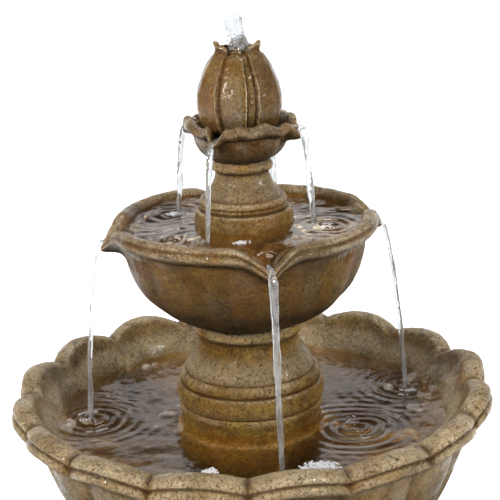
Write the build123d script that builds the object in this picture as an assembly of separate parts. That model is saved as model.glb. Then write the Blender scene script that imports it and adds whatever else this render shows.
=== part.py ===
from build123d import *
import math
import os

# Tiered garden fountain. Millimetres, +Z up. The origin is on the ground, under the middle of the stack.
# Front is -Y. Every casting is turned about the Z axis, and the water tube runs up that axis.

# Overall
TOTAL_HEIGHT = 1168.0
RIM_Z = 690.0          # valleys of the basin's scalloped rim
BASIN_RADIUS = 313.0   # rim at a valley
PETALS = 16
PETAL_BULGE = 14.0     # how far a petal stands out past its valleys
PETAL_CREST = 14.0     # how far a petal rises above its valleys
PETAL_START = -90.0    # direction of the valley at the front, in degrees

# Heights of the stack, above the ground
BASIN_SEAT_Z = RIM_Z - 245
BASIN_FLOOR_Z = RIM_Z - 215
MIDDLE_SEAT_Z = RIM_Z + 105
MIDDLE_FLOOR_Z = RIM_Z + 121
TOP_SEAT_Z = RIM_Z + 327
TOP_FLOOR_Z = RIM_Z + 337
TIP_Z = TOTAL_HEIGHT

# Hollow castings
PEDESTAL_SOCKET_RADIUS = 84.0
PUMP_CHAMBER_RADIUS = 83.0
LOWER_BORE_RADIUS = 54.0
UPPER_FOOT_BORE_RADIUS = 52.0
UPPER_BORE_RADIUS = 25.0
RING_CLEARANCE = 1.0   # between a locating ring and the casting that drops over it
RING_HEIGHT = 6.0
RING_WIDTH = 7.0

# Pouring lips: directions counted from +X
MIDDLE_LIPS = [-77.0 + 90 * k for k in range(4)]
TOP_LIPS = [-114.5 + 90 * k for k in range(4)]

# Tube: half-inch bore vinyl
TUBE_RADIUS = 7.95
TUBE_BORE = 6.35
TUBE_CLEARANCE = 0.25
GROMMET_RADIUS = 13.0
GROMMET_FLANGE = 17.0
CORD_HOLE_RADIUS = 10.0
CORD_HOLE_Y = 61.0

# Pump, measured from the basin's floor. Its shaft lies along Y.
FOOT_HEIGHT = 6.0
PUMP_HALF_WIDTH = 29.0
PUMP_TOP = 68.0
PUMP_BACK = 48.0
SHAFT_Z = 30.0
SHAFT_RADIUS = 1.5
RUNNING_CLEARANCE = 0.05
CHAMBER_FRONT = -6.0
CHAMBER_BACK = 6.0
COVER_FRONT = -30.0
PIPE_TOP = 84.0
PIPE_RADIUS = 9.0
WALL = 2.5
GAP = 0.4              # between pieces that move past each other
BARB_Z = 100.0
GLAND_X = -15.0
GLAND_Z = 54.0


def above(base, points):
    return [(r, base + z) for r, z in points]


def turned(*runs):
    """Turn a closed outline about Z. A run of two points is straight, a longer one is a smooth curve."""
    edges = []
    for run in runs:
        points = [(r, 0, z) for r, z in run]
        edges.append(Line(*points) if len(points) == 2 else Spline(*points))
    closed = Wire(edges + [Line(edges[-1] @ 1, edges[0] @ 0)])
    return revolve(Face(closed), axis=Axis.Z)


def polar(radius, degrees, height):
    angle = math.radians(degrees)
    return (radius * math.cos(angle), radius * math.sin(angle), height)


def petal_outline(radius, bulge, height, count, start):
    """A ring of outward arcs that meet in sharp valleys."""
    step = 360 / count
    arcs = []
    for k in range(count):
        angle = start + k * step
        arcs.append(ThreePointArc(
            polar(radius, angle, height),
            polar(radius + bulge, angle + step / 2, height),
            polar(radius, angle + step, height),
        ))
    return Wire(arcs)


def petal_body(sections, count, start):
    """A body through petal outlines, each given as height, valley radius and bulge."""
    return Solid.make_loft([petal_outline(r, bulge, z, count, start) for z, r, bulge in sections])


def disc(radius, low, high):
    return Pos(0, 0, (low + high) / 2) * Cylinder(radius, high - low)


def ring(outer, inner, low, high):
    return disc(outer, low, high) - disc(inner, low - 1, high + 1)


def block(low, high):
    """A box from its lowest corner to its highest."""
    size = [b - a for a, b in zip(low, high)]
    middle = [(a + b) / 2 for a, b in zip(low, high)]
    return Pos(*middle) * Box(*size)


def along_y(radius, front, back, x=0.0, z=0.0):
    return Pos(x, (front + back) / 2, z) * Rot(90, 0, 0) * Cylinder(radius, back - front)


def locating_ring(bore, floor):
    """A ring on a floor that centres the hollow casting standing round it."""
    outer = bore - RING_CLEARANCE
    return ring(outer, outer - RING_WIDTH, floor - 1, floor + RING_HEIGHT)


def hanging_ring(bore, seat):
    """The same ring under a seat, reaching down into the bore that carries it."""
    outer = bore - RING_CLEARANCE
    return ring(outer, outer - RING_WIDTH, seat - RING_HEIGHT, seat + 1)


def trough(near, far, directions):
    """One tapering V-bottomed body for each direction. An end is radius, half width, top and bottom."""
    def section(radius, half_width, top, bottom):
        shoulder = top - 0.45 * (top - bottom)
        points = [(-half_width, top), (half_width, top), (0.75 * half_width, shoulder), (0, bottom),
                  (-0.75 * half_width, shoulder)]
        corners = [(radius, y, z) for y, z in points]
        return Wire.make_polygon(corners, close=True)
    body = Solid.make_loft([section(*near), section(*far)], ruled=True)
    return [Rot(0, 0, direction) * body for direction in directions]


def with_lips(bowl, lip, channel, directions):
    """The bowl with pouring lips added in each direction and their channels cut through its rim."""
    for body in trough(*lip, directions):
        bowl += body
    for cut in trough(*channel, directions):
        bowl -= cut
    return bowl


# --- Castings ---

def base_pedestal():
    top = BASIN_SEAT_Z
    outer = [
        [(170, 0), (170, 26)],
        [(170, 26), (162, 32)],
        [(162, 32), (159, 48), (150, 60)],
        [(150, 60), (150, 68)],
        [(150, 68), (118, 84), (98, 122), (92, 158)],
        [(92, 158), (103, 166), (92, 174)],
        [(92, 174), (106, 224), (110, 262), (98, 310), (86, 356)],
        [(86, 356), (102, 368), (92, 382)],
        [(92, 382), (98, 402), (116, 422), (118, top)],
        [(118, top), (PEDESTAL_SOCKET_RADIUS, top)],
    ]
    inner = [
        [(PEDESTAL_SOCKET_RADIUS, top), (PEDESTAL_SOCKET_RADIUS, 420)],
        [(PEDESTAL_SOCKET_RADIUS, 420), (73, 382)],
        [(73, 382), (73, 330)],
        [(73, 330), (86, 262), (78, 174)],
        [(78, 174), (80, 122), (134, 62)],
        [(134, 62), (148, 40)],
        [(148, 40), (148, 0)],
    ]
    notch = Pos(0, 160, 0) * Rot(90, 0, 0) * Cylinder(22, 60)
    return turned(*outer, *inner) - notch


def basin_crest_cutter():
    """What is taken off the rim at one valley: the space above two neighbouring petals' crests."""
    reach = BASIN_RADIUS * math.sin(math.radians(180 / PETALS))
    crest = RIM_Z + PETAL_CREST
    radius = (reach**2 + PETAL_CREST**2) / (2 * PETAL_CREST)
    drop = radius - math.sqrt(radius**2 - (reach / 2)**2)
    x = BASIN_RADIUS - 60
    valley = (x, 0, RIM_Z)
    left = ThreePointArc((x, -reach, crest), (x, -reach / 2, crest - drop), valley)
    right = ThreePointArc(valley, (x, reach / 2, crest - drop), (x, reach, crest))
    lid = Polyline((x, reach, crest), (x, reach, crest + 20), (x, -reach, crest + 20), (x, -reach, crest))
    return extrude(Face(Wire([left, right, *lid.edges()])), amount=100, dir=(1, 0, 0))


def lower_bowl():
    body = petal_body([(z + RIM_Z, r, b) for z, r, b in [
        (-245, 112, 0), (-222, 178, 2), (-190, 221, 4), (-140, 255, 6), (-80, 277, 8), (-28, 292, 10)]],
        PETALS, PETAL_START)
    rim = petal_body([(z + RIM_Z, r, b) for z, r, b in [
        (-36, 296, 11), (-22, 310, 13), (-6, BASIN_RADIUS, PETAL_BULGE), (PETAL_CREST, 308, PETAL_BULGE)]],
        PETALS, PETAL_START)
    hollow = petal_body([(z + RIM_Z, r, b) for z, r, b in [
        (-215, 150, 0), (-196, 192, 2), (-150, 231, 3), (-90, 247, 5), (-42, 256, 7), (-20, 270, 9),
        (-4, 286, 11), (PETAL_CREST + 8, 288, 12)]], PETALS, PETAL_START)
    bowl = body + rim - hollow
    for k in range(PETALS):
        bowl -= Rot(0, 0, PETAL_START + 360 / PETALS * k) * basin_crest_cutter()
    bowl += locating_ring(PUMP_CHAMBER_RADIUS, BASIN_FLOOR_Z)
    bowl += hanging_ring(PEDESTAL_SOCKET_RADIUS, BASIN_SEAT_Z)
    cord_hole = Pos(0, CORD_HOLE_Y, BASIN_FLOOR_Z) * Cylinder(CORD_HOLE_RADIUS, 90)
    return bowl - cord_hole


def lower_column():
    foot = BASIN_FLOOR_Z - RIM_Z
    seat = MIDDLE_SEAT_Z - RIM_Z
    outline = [
        [(103, foot), (103, -62)],
        [(103, -62), (95, -48), (94.5, -34), (98.5, -16), (97.5, -8)],
        [(97.5, -8), (101, 4), (98.3, 19.5)],
        [(98.3, 19.5), (95.3, 21.5)],
        [(95.3, 21.5), (94.8, 28), (92.5, 34), (88.5, 37)],
        [(88.5, 37), (84.5, 48), (75, 58), (69, 68), (67.5, 78), (69.5, 88)],
        [(69.5, 88), (75.5, 96.5), (69, 105)],
        [(69, 105), (LOWER_BORE_RADIUS, seat)],
        [(LOWER_BORE_RADIUS, seat), (LOWER_BORE_RADIUS, 66)],
        [(LOWER_BORE_RADIUS, 66), (PUMP_CHAMBER_RADIUS, 26)],
        [(PUMP_CHAMBER_RADIUS, 26), (PUMP_CHAMBER_RADIUS, foot)],
    ]
    column = turned(*[above(RIM_Z, run) for run in outline])
    arch = Pos(0, 0, BASIN_FLOOR_Z + 10) * Rot(90, 0, 0) * Cylinder(16, 240)
    arch += Pos(0, 0, BASIN_FLOOR_Z + 5) * Box(32, 240, 12)
    return column - arch - Rot(0, 0, 90) * arch


def middle_bowl():
    seat = MIDDLE_SEAT_Z - RIM_Z
    floor = MIDDLE_FLOOR_Z - RIM_Z
    outline = [
        [(GROMMET_RADIUS, seat), (68, seat)],
        [(68, seat), (81, 110), (118, 131), (138, 150), (151, 173), (160, 202), (165, 222)],
        [(165, 222), (172, 226), (178, 236), (176, 245), (169, 250), (161, 247), (157, 240)],
        [(157, 240), (151, 210), (141, 180), (125, 158), (100, 138), (76, floor)],
        [(76, floor), (GROMMET_RADIUS, floor)],
    ]
    bowl = turned(*[above(RIM_Z, run) for run in outline])
    lip = (150, 40, RIM_Z + 246, RIM_Z + 196), (188, 13, RIM_Z + 230, RIM_Z + 213)
    channel = (120, 52, RIM_Z + 276, RIM_Z + 228), (192, 20, RIM_Z + 262, RIM_Z + 217)
    bowl = with_lips(bowl, lip, channel, MIDDLE_LIPS)
    inside = turned(*[above(RIM_Z, run) for run in [
        [(0, floor), (76, floor)],
        [(76, floor), (100, 138), (125, 158), (141, 180), (151, 210), (157, 240)],
        [(157, 240), (0, 240)],
    ]])
    bowl -= inside
    bowl -= disc(GROMMET_RADIUS, MIDDLE_SEAT_Z - 5, MIDDLE_FLOOR_Z + 5)
    bowl += hanging_ring(LOWER_BORE_RADIUS, MIDDLE_SEAT_Z)
    return bowl + locating_ring(UPPER_FOOT_BORE_RADIUS, MIDDLE_FLOOR_Z)


def upper_column():
    floor = MIDDLE_FLOOR_Z - RIM_Z
    seat = TOP_SEAT_Z - RIM_Z
    outline = [
        [(65, floor), (65, 232)],
        [(65, 232), (65.8, 246), (63.5, 259)],
        [(63.5, 259), (58, 263), (57.3, 267)],
        [(57.3, 267), (58.5, 271), (55, 276)],
        [(55, 276), (48.5, 281), (42, 291), (37, 301), (35.3, 310)],
        [(35.3, 310), (41, 318), (37, seat)],
        [(37, seat), (UPPER_BORE_RADIUS, seat)],
        [(UPPER_BORE_RADIUS, seat), (UPPER_BORE_RADIUS, 296)],
        [(UPPER_BORE_RADIUS, 296), (UPPER_FOOT_BORE_RADIUS, 254)],
        [(UPPER_FOOT_BORE_RADIUS, 254), (UPPER_FOOT_BORE_RADIUS, floor)],
    ]
    return turned(*[above(RIM_Z, run) for run in outline])


def top_bowl():
    seat = TOP_SEAT_Z - RIM_Z
    floor = TOP_FLOOR_Z - RIM_Z
    cavity = [
        [(0, floor), (36, floor)],
        [(36, floor), (48, 346), (54, 358), (60, 376)],
        [(60, 376), (0, 376)],
    ]
    outline = [
        [(0, seat), (35, seat)],
        [(35, seat), (43, 331), (53, 339), (60, 349), (63, 361), (67, 366)],
        [(67, 366), (72, 369), (70, 376), (60, 376)],
    ]
    bowl = turned(*[above(RIM_Z, run) for run in outline])
    lip = (54, 22, RIM_Z + 384, RIM_Z + 338), (83, 11, RIM_Z + 386, RIM_Z + 354)
    channel = (40, 15, RIM_Z + 392, RIM_Z + 362), (86, 8, RIM_Z + 390, RIM_Z + 364)
    bowl = with_lips(bowl, lip, channel, TOP_LIPS)
    bowl -= turned(*[above(RIM_Z, run) for run in cavity])
    bowl += hanging_ring(UPPER_BORE_RADIUS, TOP_SEAT_Z)
    return bowl - disc(GROMMET_RADIUS, TOP_SEAT_Z - 5, TOP_FLOOR_Z + 5)


def finial():
    bud = petal_body([(z + RIM_Z, r, b) for z, r, b in [
        (352, 40, 1), (372, 48.5, 2), (392, 54, 2.5), (408, 54, 2.5), (424, 50.5, 2.5), (440, 45, 2.5),
        (456, 36, 2), (470, 27, 1.5), (478, 28.5, 1.5)]], 8, PETAL_START)
    stem = disc(29, TOP_FLOOR_Z, RIM_Z + 354)
    cup = turned([(0, TIP_Z - 26), (14, TIP_Z - 24), (20, TIP_Z - 8), (23, TIP_Z + 2)],
                 [(23, TIP_Z + 2), (0, TIP_Z + 2)])
    flange_recess = disc(GROMMET_FLANGE + GAP, TOP_FLOOR_Z - 1, TOP_FLOOR_Z + 4)
    return bud + stem - cup - disc(TUBE_RADIUS + 1, TOP_FLOOR_Z - 5, TIP_Z + 5) - flange_recess


# --- Plumbing ---

def riser_tube():
    return ring(TUBE_RADIUS, TUBE_BORE, BASIN_FLOOR_Z + PIPE_TOP + 4, TIP_Z - 30)


def jet_nozzle():
    top = TIP_Z - 30
    barb = disc(TUBE_BORE, top - 16, top)
    head = Pos(0, 0, top + 6) * Cone(TUBE_RADIUS, 5.5, 12)
    return barb + head - disc(3.2, top - 20, top + 20)


def hose_clamp():
    middle = BASIN_FLOOR_Z + BARB_Z
    band = ring(TUBE_RADIUS + 0.9, TUBE_RADIUS, middle - 4.5, middle + 4.5)
    saddle = block((TUBE_RADIUS + 0.6, -6, middle - 5), (TUBE_RADIUS + 7.5, 6, middle + 5))
    return band + saddle - disc(TUBE_RADIUS, middle - 10, middle + 10) - along_y(
        2.6, -8, 8, TUBE_RADIUS + 4.2, middle)


def clamp_screw():
    middle = BASIN_FLOOR_Z + BARB_Z
    x = TUBE_RADIUS + 4.2
    screw = along_y(2.6, -6, 8, x, middle) + along_y(4, -9, -6, x, middle)
    return screw - block((x - 0.5, -10, middle - 3), (x + 0.5, -8, middle + 3))


def grommet(seat, floor):
    body = disc(GROMMET_RADIUS, seat, floor) + disc(GROMMET_FLANGE, floor, floor + 3)
    return body - disc(TUBE_RADIUS + TUBE_CLEARANCE, seat - 1, floor + 4)


def cord_stopper():
    low = BASIN_SEAT_Z - 3
    high = BASIN_FLOOR_Z + 5
    plug = disc(CORD_HOLE_RADIUS, low, BASIN_FLOOR_Z) + disc(CORD_HOLE_RADIUS + 3, BASIN_FLOOR_Z, high)
    cord_way = disc(3.6, low - 1, high + 1)
    split = block((-0.4, 0, low - 1), (0.4, CORD_HOLE_RADIUS + 4, high + 1))
    return Pos(0, CORD_HOLE_Y, 0) * (plug - cord_way - split)


# --- Pump, at the basin's floor ---

def pump_housing():
    half = PUMP_HALF_WIDTH
    outside = block((-half, CHAMBER_BACK, FOOT_HEIGHT), (half, PUMP_BACK, PUMP_TOP))
    room = block((-half + WALL, CHAMBER_BACK + WALL, FOOT_HEIGHT + WALL),
                 (half - WALL, PUMP_BACK - WALL, PUMP_TOP - WALL))
    case = fillet(outside.edges().filter_by(Axis.Y), 5)
    sleeve = along_y(14.5, CHAMBER_BACK, 38, 0, SHAFT_Z)
    case = case - room + sleeve - along_y(13, CHAMBER_BACK - 1, 36, 0, SHAFT_Z)
    case += along_y(6, 33, 36.5, 0, SHAFT_Z) - along_y(4, 32, 36, 0, SHAFT_Z)
    return case - along_y(5, PUMP_BACK - 4, PUMP_BACK + 1, GLAND_X, GLAND_Z)


def stator_core():
    legs = block((-21, 10, 17), (21, 34, 62)) - block((-15, 9, 16), (15, 35, 56))
    return legs


def stator_coils():
    coils = []
    for side in (-1, 1):
        low, high = sorted((side * 11, side * 25))
        leg_low, leg_high = sorted((side * 15, side * 21))
        coil = block((low, 9, 45), (high, 38, 55)) - block((leg_low, 10, 44), (leg_high, 34, 56))
        coils.append(coil.solid())
    return Compound(coils)


def volute_cover():
    front, back = CHAMBER_FRONT, CHAMBER_BACK
    shell = fillet(block((-26, front, FOOT_HEIGHT + 0.5), (26, back, 55)).edges().filter_by(Axis.Y), 5)
    shell += disc(PIPE_RADIUS, 50, PIPE_TOP) & block((-10, -20, 50), (10, back, PIPE_TOP))
    shell -= disc(5, 45, PIPE_TOP + 1)
    shell -= along_y(20, front + 2.5, back + 1, 0, SHAFT_Z)
    shell -= along_y(8, front - 1, back, 0, SHAFT_Z)
    groove_wall = along_y(20.8, back - 2, back + 2, 0, SHAFT_Z)
    seal_groove = along_y(22.4, back - 1.4, back + 1, 0, SHAFT_Z) - groove_wall
    hub = along_y(5.2, front, -2, 0, SHAFT_Z)
    for turn in range(3):
        spoke = Rot(0, 120 * turn, 0) * block((-1, front, 0), (1, front + 2.5, 9))
        hub += Pos(0, 0, SHAFT_Z) * spoke
    return shell - seal_groove + (hub - along_y(3.5, front - 1, 0, 0, SHAFT_Z))


def volute_seal():
    back = CHAMBER_BACK
    return along_y(22.4, back - 1.4, back, 0, SHAFT_Z) - along_y(20.8, back - 2, back + 1, 0, SHAFT_Z)


def impeller():
    bore = SHAFT_RADIUS + RUNNING_CLEARANCE
    wheel = along_y(5, -1.4, 5, 0, SHAFT_Z) + along_y(18, 3, 5, 0, SHAFT_Z)
    for turn in range(6):
        vane = Rot(0, 60 * turn, 0) * block((-0.8, -1.4, 4), (0.8, 3.2, 17.6))
        wheel += Pos(0, 0, SHAFT_Z) * vane
    return wheel - along_y(bore, -3, 7, 0, SHAFT_Z)


def rotor_magnet():
    return along_y(12, 5, 32, 0, SHAFT_Z) - along_y(SHAFT_RADIUS + RUNNING_CLEARANCE, 4, 33, 0, SHAFT_Z)


def rotor_shaft():
    return along_y(SHAFT_RADIUS, CHAMBER_FRONT, 36, 0, SHAFT_Z)


def shaft_bushes():
    front = along_y(3.5, CHAMBER_FRONT, -2, 0, SHAFT_Z)
    back = along_y(4, 33, 36, 0, SHAFT_Z)
    shaft = rotor_shaft()
    return Compound([(front - shaft).solid(), (back - shaft).solid()])


def pump_cover():
    box = block((-28, COVER_FRONT, FOOT_HEIGHT), (28, CHAMBER_FRONT - GAP, 58))
    shell = fillet(box.edges().filter_by(Axis.Y), 5)
    shell -= block((-26, COVER_FRONT + 2, FOOT_HEIGHT + 2), (26, 0, 56))
    for k in range(-3, 4):
        shell -= block((7 * k - 1.5, COVER_FRONT - 1, 37), (7 * k + 1.5, COVER_FRONT + 3, 53))
        shell -= block((7 * k - 1.5, COVER_FRONT + 5, 55), (7 * k + 1.5, CHAMBER_FRONT - 4, 59))
    shell -= block((-6, COVER_FRONT - 1, 16), (6, COVER_FRONT + 3, 26))
    shell -= disc(PIPE_RADIUS + GAP, 45, 60)
    for z, lip in ((10, 12), (30, 28.6)):
        shell += block((-24, COVER_FRONT - 4, z), (24, COVER_FRONT, z + 2))
        shell += block((-24, COVER_FRONT - 4, lip), (24, COVER_FRONT - 3, lip + 1.4))
    return shell


def filter_sponge():
    return block((-25.5, COVER_FRONT + 2.5, FOOT_HEIGHT + 2.5), (25.5, CHAMBER_FRONT - 4, 55.5))


def flow_control():
    face = COVER_FRONT
    plate = block((-10, face - 2.4, 12 + GAP), (14, face - GAP, 30 - GAP))
    nub = block((0, face - 7, 16), (4, face - 2, 26))
    return plate + nub


def outlet_adapter():
    collar = ring(PIPE_RADIUS + 2.5, PIPE_RADIUS, PIPE_TOP - 14, PIPE_TOP)
    shoulder = disc(PIPE_RADIUS + 2.5, PIPE_TOP, PIPE_TOP + 4)
    barb = disc(TUBE_BORE, PIPE_TOP + 4, PIPE_TOP + 28)
    return collar + shoulder + barb - disc(4.6, PIPE_TOP - 1, PIPE_TOP + 30)


def suction_feet():
    cup = Pos(0, 0, 1) * Cone(8.5, 7, 2) + disc(4, 2, FOOT_HEIGHT)
    cup -= Pos(0, 0, 0.4) * Cone(6.5, 5, 0.8)
    return Compound([(Pos(x, y, 0) * cup).solid() for x in (-19, 19) for y in (15, 39)])


def cable_gland():
    face = Plane(origin=(0, PUMP_BACK, 0), x_dir=(1, 0, 0), z_dir=(0, 1, 0))
    nut = extrude(face * RegularPolygon(8, 6), 5)
    neck = along_y(5, PUMP_BACK - WALL, PUMP_BACK)
    dome = Pos(0, PUMP_BACK + 8, 0) * Rot(-90, 0, 0) * Cone(6, 4.4, 6)
    return Pos(GLAND_X, 0, GLAND_Z) * (nut + neck + dome - along_y(3, PUMP_BACK - 3, PUMP_BACK + 12))


castings = [base_pedestal, lower_bowl, lower_column, middle_bowl, upper_column, top_bowl, finial]
plumbing = [riser_tube, jet_nozzle, hose_clamp, clamp_screw, cord_stopper]
pump = [
    pump_housing, stator_core, stator_coils, volute_cover, volute_seal, impeller, rotor_magnet, rotor_shaft,
    shaft_bushes, pump_cover, filter_sponge, flow_control, outlet_adapter, suction_feet, cable_gland,
]

pieces = {make.__name__: make() for make in castings + plumbing}
pieces["middle_grommet"] = grommet(MIDDLE_SEAT_Z, MIDDLE_FLOOR_Z)
pieces["top_grommet"] = grommet(TOP_SEAT_Z, TOP_FLOOR_Z)
for make in pump:
    pieces[make.__name__] = Pos(0, 0, BASIN_FLOOR_Z) * make()

os.makedirs("parts", exist_ok=True)
for name, shape in pieces.items():
    export_step(shape, f"parts/{name}.step")
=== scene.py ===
import itertools
import math
import random

import bmesh
import bpy
import numpy as np
from mathutils import Matrix, Vector


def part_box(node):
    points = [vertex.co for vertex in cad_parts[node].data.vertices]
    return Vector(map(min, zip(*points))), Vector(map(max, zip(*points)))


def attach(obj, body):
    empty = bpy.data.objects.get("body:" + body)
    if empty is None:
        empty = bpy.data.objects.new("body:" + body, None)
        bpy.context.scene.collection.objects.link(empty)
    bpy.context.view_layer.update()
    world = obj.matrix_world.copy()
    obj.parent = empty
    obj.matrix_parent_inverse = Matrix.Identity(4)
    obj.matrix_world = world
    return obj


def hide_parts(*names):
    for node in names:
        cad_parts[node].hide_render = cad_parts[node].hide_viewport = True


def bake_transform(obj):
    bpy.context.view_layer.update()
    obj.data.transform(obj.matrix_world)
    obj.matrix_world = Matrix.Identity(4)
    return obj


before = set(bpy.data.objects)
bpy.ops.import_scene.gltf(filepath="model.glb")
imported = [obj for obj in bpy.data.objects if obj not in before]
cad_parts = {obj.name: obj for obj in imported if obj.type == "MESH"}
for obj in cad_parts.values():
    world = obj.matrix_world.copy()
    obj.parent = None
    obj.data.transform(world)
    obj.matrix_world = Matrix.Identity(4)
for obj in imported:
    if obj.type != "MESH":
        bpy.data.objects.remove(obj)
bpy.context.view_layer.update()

# Tiered garden fountain. Metres, +Z up, front at -Y. Turned outlines are in millimetres, as radius and height
# above the valleys of the basin's rim. The pedestal's is measured from the ground.

MM = 0.001
TAU = 2 * math.pi
FRONT = -math.pi / 2

RIM_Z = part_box("lower_bowl")[1].z - 14 * MM       # valleys of the basin's rim
BASIN_WATER_Z = RIM_Z - 30 * MM
MIDDLE_RIM_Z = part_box("middle_bowl")[1].z
MIDDLE_WATER_Z = MIDDLE_RIM_Z - 9 * MM
TOP_RIM_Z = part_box("top_bowl")[1].z - 15 * MM
TOP_WATER_Z = TOP_RIM_Z - 6 * MM
TUBE_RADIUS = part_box("riser_tube")[1].x

PETALS = 16
MIDDLE_LIPS = [math.radians(d) for d in (-79, 15, 102, 188)]
TOP_LIPS = [math.radians(-114.5 + 90 * k) for k in range(4)]

# The sRGB look of the cast stone, as linear colours
OCHRE = (0.245, 0.130, 0.015)
GOLD = (0.480, 0.295, 0.040)
BROWN = (0.070, 0.029, 0.005)
UMBER = (0.014, 0.008, 0.003)
RUST = (0.240, 0.080, 0.007)
TAN = (0.62, 0.51, 0.33)
ASH = (0.330, 0.280, 0.185)
SLATE = (0.125, 0.108, 0.080)


# --- Seeded noise ---

def lattice(cells, seed):
    """A repeatable value from -1 to 1 for each whole-numbered cell."""
    h = cells[..., 0] * 374761393 + cells[..., 1] * 668265263 + cells[..., 2] * 2147483647 + seed * 1274126177
    h = (h ^ (h >> 13)) * 1274126177
    h = h ^ (h >> 16)
    return (h & 0xFFFF) / 32767.5 - 1


def noise(points, cell, seed=0):
    """Smooth noise from -1 to 1 whose features are about one cell wide."""
    q = np.asarray(points) / cell
    low = np.floor(q).astype(np.int64)
    f = q - low
    f = f * f * (3 - 2 * f)
    total = np.zeros(q.shape[:-1])
    for corner in itertools.product((0, 1), repeat=3):
        weight = np.prod(np.where(corner, f, 1 - f), axis=-1)
        total += weight * lattice(low + corner, seed)
    return total


def layered(points, cell, seed=0, layers=3):
    total = np.zeros(np.asarray(points).shape[:-1])
    for k in range(layers):
        total += noise(points, cell / 2**k, seed + 31 * k) / 2**k
    return total


# --- Mesh making ---

def smooth_run(points, spacing):
    """Points along a Catmull-Rom curve through the given ones, about one spacing apart."""
    p = np.array(points, float)
    if len(p) == 2:
        count = max(1, round(np.linalg.norm(p[1] - p[0]) / spacing))
        return p[0] + (p[1] - p[0]) * np.linspace(0, 1, count, endpoint=False)[:, None]
    p = np.vstack([2 * p[0] - p[1], p, 2 * p[-1] - p[-2]])
    out = []
    for a, b, c, d in zip(p[:-3], p[1:-2], p[2:-1], p[3:]):
        count = max(1, round(np.linalg.norm(c - b) / spacing))
        for t in np.linspace(0, 1, count, endpoint=False):
            out.append(0.5 * (2 * b + (c - a) * t + (2 * a - 5 * b + 4 * c - d) * t**2
                              + (3 * b - a - 3 * c + d) * t**3))
    return np.array(out)


def straight(spacing, *corners):
    """Runs along the straight lines from corner to corner."""
    return [(spacing, list(pair)) for pair in zip(corners, corners[1:])]


def outline(*runs):
    """A closed turned outline from runs of (spacing, points), each starting where the last one ends."""
    return np.vstack([smooth_run(points, spacing) for spacing, points in runs])


def surface_normals(grid):
    along = np.roll(grid, -1, 0) - np.roll(grid, 1, 0)
    around = np.roll(grid, -1, 1) - np.roll(grid, 1, 1)
    n = np.cross(along, around)
    return n / np.maximum(np.linalg.norm(n, axis=-1, keepdims=True), 1e-12)


def hollowness(grid, normals, reach):
    """Above 0 in grooves and below 0 on edges, from how a point lies among those around it."""
    around = sum(np.roll(grid, s * reach, axis) for s in (-1, 1) for axis in (0, 1)) / 4
    size = np.linalg.norm(np.roll(grid, reach, 0) - np.roll(grid, -reach, 0), axis=-1) + 1e-9
    return np.einsum("ijk,ijk->ij", around - grid, normals) / size


def grid_faces(rows, columns, closed_rows):
    row = np.arange(rows if closed_rows else rows - 1)[:, None]
    column = np.arange(columns)[None, :]
    below = (row + 1) % rows
    right = (column + 1) % columns
    corners = [row * columns + column, row * columns + right,
               below * columns + right, below * columns + column]
    return np.stack([np.broadcast_to(c, (len(row), columns)) for c in corners], -1).reshape(-1, 4)


def mesh_object(name, points, faces, material, attributes=None, solid=False):
    """A smooth-shaded mesh. A solid one has its faces turned outwards."""
    points = np.asarray(points, float).reshape(-1, 3)
    mesh = bpy.data.meshes.new(name)
    mesh.from_pydata(points.tolist(), [], [list(map(int, f)) for f in faces])
    for key, values in (attributes or {}).items():
        layer = mesh.attributes.new(key, "FLOAT", "POINT")
        layer.data.foreach_set("value", np.asarray(values, np.float32).ravel())
    mesh.materials.append(material)
    mesh.update()
    if solid:
        shell = bmesh.new()
        shell.from_mesh(mesh)
        bmesh.ops.recalc_face_normals(shell, faces=shell.faces)
        shell.to_mesh(mesh)
        shell.free()
    mesh.polygons.foreach_set("use_smooth", [True] * len(mesh.polygons))
    piece = bpy.data.objects.new(name, mesh)
    bpy.context.collection.objects.link(piece)
    return piece


def turned(name, body, material, profile, base, columns, shape, roughness, seed, wet, wash_and_sheen=None):
    """A casting: a closed outline turned about Z, shaped by angle, then roughened like cast stone."""
    angle = np.linspace(0, TAU, columns, endpoint=False)[None, :]
    r = np.repeat(profile[:, :1] * MM, columns, 1)
    z = np.repeat(profile[:, 1:] * MM, columns, 1)
    angle = np.repeat(angle, len(profile), 0)
    r, z, angle = shape(r, z, angle)
    grid = np.stack([r * np.cos(angle), r * np.sin(angle), z + base], -1)
    normals = surface_normals(grid)
    widest = np.argmax(profile[:, 0])
    outward = np.stack([np.cos(angle), np.sin(angle), 0 * angle], -1)[widest]
    flip = np.sum(normals[widest] * outward) < 0
    if flip:
        normals = -normals
    groove = hollowness(grid, normals, 3)
    lumps = (0.9 * layered(grid, 0.045, seed, 2) + 0.50 * layered(grid, 0.014, seed + 5, 2)
             + 0.55 * noise(grid, 0.0055, seed + 9))
    pits = np.clip(noise(grid, 0.0085, seed + 13) - 0.72, 0, 1) * 2.2
    grid = grid + normals * ((lumps - pits) * MM * 0.62 * roughness)[..., None]
    faces = grid_faces(*r.shape, True)
    if flip:
        faces = faces[:, ::-1]
    marks = {
        # under: undersides, darkened in the stone shader as painted shade
        "under": np.clip((-normals[..., 2] - 0.15) / 0.75, 0, 1),
        # top: upward faces, painted paler in the stone shader as a painted highlight of light from above
        "top": np.clip((normals[..., 2] - 0.35) / 0.60, 0, 1),
        "groove": np.clip(groove * 9, 0, 1),
        "edge": np.clip(-groove * 7, 0, 1),
        "wet": wet(r, z + base, angle),
        "wash_and_sheen": np.zeros(r.shape) if wash_and_sheen is None else wash_and_sheen(r, z / MM, angle),
    }
    piece = mesh_object(name, grid, faces, material, marks)
    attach(piece, body)
    return piece


# --- Shader helpers ---

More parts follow.
